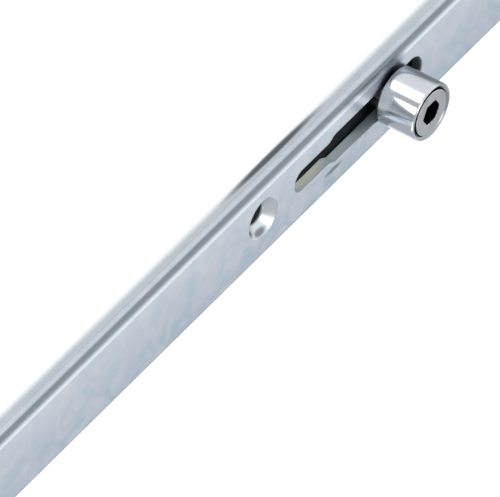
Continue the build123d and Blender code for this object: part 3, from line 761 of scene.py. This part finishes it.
# The setting tool: one fastener on each place, faced the given way and turned at random about itself.
setting, given = new_tree(
    "Set fasteners",
    [("Fastener", OBJECT), ("Facing", VECTOR, (0.0, 0.0, 0.0)), ("Seed", INT, 1)],
)
nodes, links = setting.nodes, setting.links
pattern = nodes.new("GeometryNodeObjectInfo")
links.new(given.outputs["Fastener"], pattern.inputs["Object"])
facing = nodes.new("FunctionNodeEulerToRotation")
links.new(given.outputs["Facing"], facing.inputs[0])
set_on = nodes.new("GeometryNodeInstanceOnPoints")
links.new(given.outputs["Geometry"], set_on.inputs["Points"])
links.new(pattern.outputs["Geometry"], set_on.inputs["Instance"])
links.new(facing.outputs[0], set_on.inputs["Rotation"])
chance = nodes.new("FunctionNodeRandomValue")
links.new(given.outputs["Seed"], chance.inputs["Seed"])
spin = nodes.new("ShaderNodeCombineXYZ")
FLOAT_VALUE = 1
links.new(maths(setting, "MULTIPLY", chance.outputs[FLOAT_VALUE], 2 * pi), spin.inputs["Y"])
spun = nodes.new("FunctionNodeEulerToRotation")
links.new(spin.outputs[0], spun.inputs[0])
turn = nodes.new("GeometryNodeRotateInstances")
links.new(set_on.outputs["Instances"], turn.inputs["Instances"])
links.new(spun.outputs[0], turn.inputs["Rotation"])
end_tree(setting, given, turn.outputs["Instances"])

turned_steel = plated_metal(
    "turned_steel",
    colour=(0.56, 0.58, 0.60),
    shade=(0.45, 0.47, 0.50),
    tint=(0.58, 0.56, 0.54),
    bright=(0.84, 0.85, 0.87),
    roughness=0.26,
    grain=(0.02, 1.0, 0.02),
    fineness=1400.0,
)


def set_fasteners(name, fastener, points, facing, seed, material, slot, body, node):
    """Sets a fastener on each place and lets them all stand for one CAD node."""
    break_edges(fastener, FASTENER_EDGE)
    piece = places(name, points)
    use_tree(piece, setting, fastener=fastener, facing=facing, seed=seed, material=material)
    discard(fastener)
    return dress(piece, material, slot, body, node)


ALONG_Y = (0.0, 0.0, 0.0)
ALONG_X = (0.0, 0.0, -pi / 2)

head_seat = RAIL_BACK + RUNNING_GAP
guide_stud = lathed(
    "guide_stud",
    [
        (0, 0),
        (GUIDE_STUD_R, 0),
        (GUIDE_STUD_R, head_seat),
        (GUIDE_HEAD_R, head_seat),
        (GUIDE_HEAD_R, head_seat + GUIDE_HEAD_T),
        (0, head_seat + GUIDE_HEAD_T),
    ],
)
set_fasteners(
    "guide_stud_set",
    guide_stud,
    [(0, 0, z) for z in GUIDE_STUD_Z],
    facing=ALONG_Y,
    seed=3,
    material=zinc_plate,
    slot="zinc_plate",
    body="frame",
    node="guide_studs",
)


# Drive rail
# A slide past the case with a flat bar riveted on above and below, all cut from zinc-plated bar.
# It runs in grease behind the strip, and wherever the strip's slots show it, it is painted dark for
# the grease and as painted shade.

RIVET_R = 2.0 * MM
RIVET_DOME_R = 3.4 * MM
RIVET_DOME = 1.4 * MM
SPLICE_STEPS = (-14.0 * MM, -6.0 * MM, 6.0 * MM, 14.0 * MM)
DOME_STEPS = 6
RAIL_EDGE = 0.2 * MM


def broken_copy(node, name, width, segments=2):
    """A CAD node's own shape, with its edges broken as on a sawn, pressed or cast piece."""
    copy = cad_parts[node].data.copy()
    copy.name = name
    return break_edges(add_object(name, copy), width, segments)


zinc_rail = plated_metal(
    "zinc_rail",
    colour=(0.54, 0.58, 0.62),
    shade=(0.44, 0.48, 0.52),
    tint=(0.58, 0.56, 0.56),
    bright=ZINC_BRIGHT,
    roughness=0.32,
    lines=0.6,
    grain=(1.0, 1.0, 0.011),
)
# The bar's right side is brighter, with a dark patch above the lower cam
patch_near_cam(zinc_rail, (9.2, 6.2, 60.0), (0.8, 2.9, 300.0), (0.95, 0.97, 1.0), 0.95)
patch_near_cam(zinc_rail, (9.2, 3.9, 35.0), (0.9, 1.0, 21.0), (0.06, 0.065, 0.07), 0.9, 0.5)
# Grease and painted shade: near black on the rail's front and slot walls behind the strip's slots
grease_and_painted_shade = mask_from(
    zinc_rail, depth_band, "Film", front=2.4 * MM, back=5.0 * MM, half_width=4.6 * MM
)
coat(zinc_rail, grease_and_painted_shade, GREASE_AND_SHADE, 0.98, roughness=0.6)

for node, name in (
    ("drive_slide", "slide_bar"),
    ("lower_rail", "lower_rail_bar"),
    ("upper_rail", "upper_rail_bar"),
    ("lower_splice", "lower_splice_plate"),
    ("upper_splice", "upper_splice_plate"),
    ("rail_rack", "rack_block"),
):
    dress(broken_copy(node, name, RAIL_EDGE), zinc_rail, "zinc_rail", "drive_rail", node)

rail_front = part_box("lower_rail")[0].y
splice_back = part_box("lower_splice")[1].y
dome = [
    (RIVET_DOME_R * cos(pi / 2 * i / DOME_STEPS), splice_back + RIVET_DOME * sin(pi / 2 * i / DOME_STEPS))
    for i in range(DOME_STEPS)
]
rivet = lathed(
    "rivet",
    [
        (0, rail_front),
        (RIVET_R, rail_front),
        (RIVET_R, splice_back),
        *dome,
        (0, splice_back + RIVET_DOME),
    ],
)
splice_heights = [middle_of(node).z for node in ("lower_splice", "upper_splice")]
set_fasteners(
    "splice_rivet_set",
    rivet,
    [(0, 0, z + step) for z in splice_heights for step in SPLICE_STEPS],
    facing=ALONG_Y,
    seed=5,
    material=turned_steel,
    slot="turned_steel",
    body="drive_rail",
    node="splice_rivets",
)


# Roller cams
# A turned stud riveted in the rail, its journal off centre so that a hexagon key adjusts it.
# A ground and polished steel sleeve turns on the journal, dished round the stud's head.

ROLLER_R = 6.5 * MM
ROLLER_BOTTOM = -0.55 * MM
ROLLER_TOP = -9.8 * MM
ROLLER_RIM = 0.3 * MM
ROLLER_DISH = 0.5 * MM
# A face belongs to the roller's end where the Y of its normal is under this
END_TILT = -0.5
JOURNAL_R = 4.0 * MM
FIT = 0.05 * MM
HEAD_SEAT_R = 5.45 * MM
HEAD_R = 5.15 * MM
HEAD_UNDER = -7.9 * MM
HEAD_TOP = -9.7 * MM
COLLAR_R = 3.6 * MM
FLANGE_R = 4.9 * MM
FLANGE_FRONT = -0.45 * MM
FLANGE_BACK = -0.15 * MM
OVERLAP = 0.2 * MM
SHANK_R = 3.0 * MM
SHOULDER = 2.55 * MM
RIVET_SEAT = 5.15 * MM
RIVET_HEAD_R = 4.3 * MM
RIVET_HEAD_EDGE = 0.4 * MM
RIVET_END = 6.35 * MM
SOCKET_FLAT = 2.5 * MM
SOCKET_R = SOCKET_FLAT / cos(pi / 6)
SOCKET_END = -5.6 * MM
SOCKET_LEAD = 0.1 * MM
STUD_EDGE = 0.12 * MM
ROLLER_EDGE = 0.1 * MM

polished = plated_metal(
    "polished_roller",
    colour=(0.66, 0.68, 0.71),
    shade=(0.60, 0.62, 0.66),
    tint=(0.66, 0.64, 0.70),
    bright=(0.70, 0.71, 0.73),
    roughness=0.15,
    lines=0.25,
    grain=(0.02, 1.0, 0.02),
    bump=0.04,
    wear=0.9,
)
# Grease and painted shade: the roller's underside by the strip is painted near black
under_roller = mask_from(polished, depth_band, "Film", front=-0.7 * MM, back=1.0 * MM)
coat(polished, under_roller, GREASE_AND_SHADE, 1.0, roughness=0.6)
coat(polished, dull_mask(polished), (0.36, 0.38, 0.41), 1.0, roughness=0.28)
# Painted reflection: a dark patch on one side of the lower roller, and a painted highlight near its foot
patch_near_cam(polished, (4.9, -5.2, -5.0), (3.9, 9.5, 3.9), (0.15, 0.165, 0.18), 0.92, 0.2)
patch_near_cam(polished, (3.0, -1.6, 4.6), (3.6, 3.0, 4.6), (0.96, 0.97, 1.0), 0.8, 0.45)
stud_finish = plated_metal(
    "polished_stud",
    colour=(0.37, 0.39, 0.41),
    shade=(0.27, 0.29, 0.31),
    tint=(0.43, 0.39, 0.39),
    bright=(0.80, 0.81, 0.82),
    roughness=0.30,
    lines=0.3,
    grain=(0.02, 1.0, 0.02),
    bloom=260.0,
    contrast=2.4,
    bump=0.10,
)
# Grease and painted shade: the stud below its head, in the gap and the socket, is painted near black
below_head = mask_from(stud_finish, depth_band, "Film", front=-9.6 * MM, back=0.0)
coat(stud_finish, below_head, GREASE_AND_SHADE, 0.97, roughness=0.5)


def hexagon(x, z, radius):
    """A hexagon key's outline, with one corner straight up."""
    return arc(x, z, radius, 90, 390, 5)


for side, cam_z in zip(("lower", "upper"), cam_heights):
    x, z = ECCENTRIC[0], cam_z + ECCENTRIC[1]
    foot = lathed(
        "foot",
        [
            (0, FLANGE_BACK - OVERLAP),
            (COLLAR_R, FLANGE_BACK - OVERLAP),
            (COLLAR_R, SHOULDER),
            (SHANK_R, SHOULDER),
            (SHANK_R, RIVET_SEAT),
            (RIVET_HEAD_R, RIVET_SEAT),
            (RIVET_HEAD_R - RIVET_HEAD_EDGE, RIVET_END),
            (0, RIVET_END),
        ],
        0,
        cam_z,
    )
    stud = lathed(
        f"{side}_stud",
        [
            (0, FLANGE_BACK),
            (FLANGE_R, FLANGE_BACK),
            (FLANGE_R, FLANGE_FRONT),
            (JOURNAL_R, FLANGE_FRONT),
            (JOURNAL_R, HEAD_UNDER),
            (HEAD_R, HEAD_UNDER),
            (HEAD_R, HEAD_TOP),
            (0, HEAD_TOP),
        ],
        x,
        z,
    )
    combine(stud, "UNION", foot)
    lead = lathed(
        "socket_lead",
        [
            (0, HEAD_TOP - OVERLAP),
            (SOCKET_FLAT + SOCKET_LEAD + OVERLAP, HEAD_TOP - OVERLAP),
            (SOCKET_FLAT, HEAD_TOP + SOCKET_LEAD),
            (0, HEAD_TOP + SOCKET_LEAD),
        ],
        x,
        z,
    )
    key = prisms("key", [hexagon(x, z, SOCKET_R)], HEAD_TOP - MM, SOCKET_END)
    combine(stud, "DIFFERENCE", key, lead)
    break_edges(stud, STUD_EDGE)
    dress(stud, stud_finish, "polished_stud", f"{side}_cam_stud", f"{side}_cam_stud")
    roller = lathed(
        f"{side}_roller_sleeve",
        [
            (JOURNAL_R + FIT, ROLLER_BOTTOM),
            (ROLLER_R - ROLLER_RIM, ROLLER_BOTTOM),
            (ROLLER_R, ROLLER_BOTTOM - ROLLER_RIM),
            (ROLLER_R, ROLLER_TOP + ROLLER_RIM),
            (ROLLER_R - ROLLER_RIM, ROLLER_TOP),
            (HEAD_SEAT_R, ROLLER_TOP + ROLLER_DISH),
            (HEAD_SEAT_R, HEAD_UNDER + FIT),
            (JOURNAL_R + FIT, HEAD_UNDER + FIT),
        ],
        x,
        z,
        2 * ROUND_STEPS,
    )
    break_edges(roller, ROLLER_EDGE)

    def is_dished_end(middle, normal):
        off_axis = (middle.x - x) ** 2 + (middle.z - z) ** 2
        return normal.y < END_TILT and off_axis < (ROLLER_R - ROLLER_RIM) ** 2

    mark_dull(roller, is_dished_end)
    dress(roller, polished, "polished_roller", f"{side}_roller", f"{side}_roller")


# Lock case
# A tray pressed from sheet, with shouldered posts and pins riveted through its floor.
# A flat cover goes on last over their other ends.

POST_R = 3.0 * MM
GUIDE_PIN_R = 2.5 * MM
RIVET_END_R = 2.0 * MM
RIVET_END_T = 0.4 * MM
SHEET = 1.5 * MM
CASE_EDGE = 0.22 * MM
# Each post's Y and Z in millimetres
POSTS = ((16, 46), (56, 33.5), (57, -12.8), (14, -98), (56, -118), (16, -134))

zinc_case = plated_metal(
    "zinc_case",
    colour=(0.50, 0.54, 0.57),
    shade=(0.41, 0.46, 0.50),
    tint=(0.58, 0.56, 0.52),
    bright=ZINC_BRIGHT,
    roughness=0.36,
    lines=0.3,
    grain=(1.0, 1.0, 0.12),
    bloom=45.0,
    contrast=2.2,
)
for node, name in (
    ("case_body", "case_tray"),
    ("spring_stop", "spring_bracket"),
    ("case_cover", "case_lid"),
):
    dress(broken_copy(node, name, CASE_EDGE), zinc_case, "zinc_case", "frame", node)

case_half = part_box("case_cover")[1].x


def riveted_post(radius):
    """A post between the tray and the lid, stepped down at both ends to rivet through them."""
    inner, end = case_half - SHEET, case_half + RIVET_END_T
    return lathed(
        "post",
        [
            (0, -end),
            (RIVET_END_R, -end),
            (RIVET_END_R, -inner),
            (radius, -inner),
            (radius, inner),
            (RIVET_END_R, inner),
            (RIVET_END_R, end),
            (0, end),
        ],
    )


for node, radius, points in (
    ("case_posts", POST_R, [(0, y * MM, z * MM) for y, z in POSTS]),
    ("wheel_pin", POST_R, [middle_of("wheel_pin")]),
    ("bolt_guide_pin", GUIDE_PIN_R, [middle_of("bolt_guide_pin")]),
):
    set_fasteners(
        f"{node}_set",
        riveted_post(radius),
        points,
        facing=ALONG_X,
        seed=7,
        material=turned_steel,
        slot="turned_steel",
        body="frame",
        node=node,
    )


# Transfer wheel and handle follower
# Sintered and pressure cast pieces with a dull, slightly pitted skin.

TOOTH_EDGE = 0.1 * MM
FOLLOWER_EDGE = 0.3 * MM

cast = plated_metal(
    "cast_zinc",
    colour=(0.44, 0.45, 0.46),
    shade=(0.34, 0.35, 0.36),
    tint=(0.46, 0.44, 0.42),
    bright=(0.70, 0.71, 0.72),
    roughness=0.42,
    lines=0.2,
    fineness=1600.0,
    grain=(1.0, 1.0, 1.0),
    bloom=120.0,
    bump=0.3,
)
for node, name, width, steps in (
    ("transfer_wheel", "wheel_casting", TOOTH_EDGE, 1),
    ("handle_follower", "follower_casting", FOLLOWER_EDGE, 2),
):
    dress(broken_copy(node, name, width, steps), cast, "cast_zinc", node, node)


# Deadbolt and latch bolt
# Sintered heads, ground and satin nickel plated.

BOLT_EDGE = 0.25 * MM

nickel = plated_metal(
    "nickel_bolt",
    colour=(0.66, 0.64, 0.60),
    shade=(0.54, 0.52, 0.48),
    tint=(0.68, 0.66, 0.63),
    bright=(0.90, 0.88, 0.84),
    roughness=0.24,
    fineness=1400.0,
    grain=(1.0, 0.03, 1.0),
)
for node, name, body in (
    ("deadbolt", "deadbolt_head", "deadbolt"),
    ("latch_bolt", "latch_head", "latch"),
):
    dress(broken_copy(node, name, BOLT_EDGE), nickel, "nickel_bolt", body, node)


# Springs
# Drawn and oiled wire, coiled as the frame has them.

spring_steel = plated_metal(
    "spring_steel",
    colour=(0.36, 0.37, 0.39),
    shade=(0.26, 0.27, 0.29),
    tint=(0.38, 0.35, 0.32),
    bright=(0.60, 0.61, 0.62),
    roughness=0.34,
    grain=(1.0, 1.0, 1.0),
    fineness=1500.0,
)
for node in ("latch_spring", "follower_spring"):
    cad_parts[node].data.materials.clear()
    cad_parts[node].data.materials.append(spring_steel)


# Case fixings
# Threaded bushes hold the case off the strip and guide the slide, and a countersunk socket
# screw goes through the strip into each.

BUSH_R = 3.5 * MM
BUSH_STEP = 0.5 * MM
BUSH_FLANGE_R = 4.5 * MM
FIXING_R = 2.45 * MM
SCREW_SUNK = 0.1 * MM
SCREW_KEY_R = 1.8 * MM
SCREW_KEY_DEPTH = 1.8 * MM
case_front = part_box("case_body")[0].y
bush_low, bush_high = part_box("case_bushes")
screw_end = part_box("case_screws")[1].y
fixing_places = [(0, 0, z) for z in CASE_FIXING_Z]

bush = lathed(
    "bush",
    [
        (FIXING_R, bush_low.y),
        (BUSH_R, bush_low.y),
        (BUSH_R, case_front),
        (BUSH_R - BUSH_STEP, case_front),
        (BUSH_R - BUSH_STEP, case_front + SHEET),
        (BUSH_FLANGE_R, case_front + SHEET),
        (BUSH_FLANGE_R, bush_high.y),
        (FIXING_R, bush_high.y),
    ],
)
set_fasteners(
    "case_bush_set",
    bush,
    fixing_places,
    facing=ALONG_Y,
    seed=9,
    material=turned_steel,
    slot="turned_steel",
    body="frame",
    node="case_bushes",
)
head_r = COUNTERSINK_R - SCREW_SUNK
screw = lathed(
    "screw",
    [
        (0, SCREW_SUNK),
        (head_r, SCREW_SUNK),
        (FIXING_R, SCREW_SUNK + head_r - FIXING_R),
        (FIXING_R, screw_end),
        (0, screw_end),
    ],
)
key = prisms("key", [hexagon(0, 0, SCREW_KEY_R)], -MM, SCREW_KEY_DEPTH)
combine(screw, "DIFFERENCE", key)
set_fasteners(
    "case_screw_set",
    screw,
    fixing_places,
    facing=ALONG_Y,
    seed=11,
    material=turned_steel,
    slot="turned_steel",
    body="frame",
    node="case_screws",
)


# Floor, light and camera
# The part stands on a plain white floor under soft studio light.

# In metres, so that the floor's edge is out of sight
FLOOR_HALF = 60.0
FLOOR_T = 10.0 * MM
FLOOR_GAP = 0.1 * MM
floor_outline = [(-FLOOR_HALF, 0), (FLOOR_HALF, 0), (FLOOR_HALF, FLOOR_T), (-FLOOR_HALF, FLOOR_T)]
floor = prisms("floor", [floor_outline], -FLOOR_HALF, FLOOR_HALF)
floor.data.transform(Matrix.Translation((0, 0, cad_low.z - FLOOR_T - FLOOR_GAP)))
floor_paint = bpy.data.materials.new("floor_paint")
floor_paint.use_nodes = True
floor_shader = floor_paint.node_tree.nodes["Principled BSDF"]
floor_shader.inputs["Base Color"].default_value = (0.93, 0.93, 0.93, 1)
floor_shader.inputs["Roughness"].default_value = 0.9
floor.data.materials.append(floor_paint)

world = bpy.data.worlds.new("studio")
world.use_nodes = True
sky = world.node_tree.nodes["Background"].inputs
sky["Color"].default_value = (0.94, 0.97, 1.0, 1)
sky["Strength"].default_value = 0.62
bpy.context.scene.world = world
bpy.context.scene.view_settings.view_transform = "Standard"

TARGET = Vector((-4.63, 0.0, -312.1)) * MM
LAMP_DISTANCE = 2.0


def softbox(name, towards, size, radiance):
    """A square lamp that shines at the seen end of the part from a direction."""
    lamp = bpy.data.lights.new(name, "AREA")
    lamp.shape = "SQUARE"
    lamp.size = size
    lamp.energy = radiance * pi * size * size
    holder = bpy.data.objects.new(name, lamp)
    bpy.context.scene.collection.objects.link(holder)
    direction = Vector(towards).normalized()
    holder.location = TARGET + direction * LAMP_DISTANCE
    holder.rotation_mode = "QUATERNION"
    holder.rotation_quaternion = direction.to_track_quat("Z", "Y")
    holder.visible_camera = False


softbox("side", towards=(0.90, 0.42, 0.090), size=1.28, radiance=3.2)
softbox("over", towards=(0.42, 0.42, 0.805), size=0.72, radiance=3.8)
softbox("front", towards=(0.19, -0.96, 0.15), size=0.9, radiance=3.6)
softbox("back", towards=(-0.5, -0.1, 0.86), size=1.3, radiance=3.6)

# A long lens far off, turned so that the strip crosses the picture as in the photo
SEEN_WIDTH = 100.0 * MM
back = Vector((0.7095, -0.42, 0.5658)).normalized()
right = Vector((-0.0095, -0.8086, -0.5883))
right = (right - back * right.dot(back)).normalized()
up = back.cross(right)
lens = bpy.data.cameras.new("camera")
lens.lens = 1000.0
lens.sensor_width = 36.0
lens.clip_start = 0.05
lens.clip_end = 200.0
camera = bpy.data.objects.new("camera", lens)
bpy.context.scene.collection.objects.link(camera)
axes = Matrix((right, up, back)).transposed().to_4x4()
distance = SEEN_WIDTH * lens.lens / lens.sensor_width
camera.matrix_world = Matrix.Translation(TARGET + back * distance) @ axes
bpy.context.scene.camera = camera
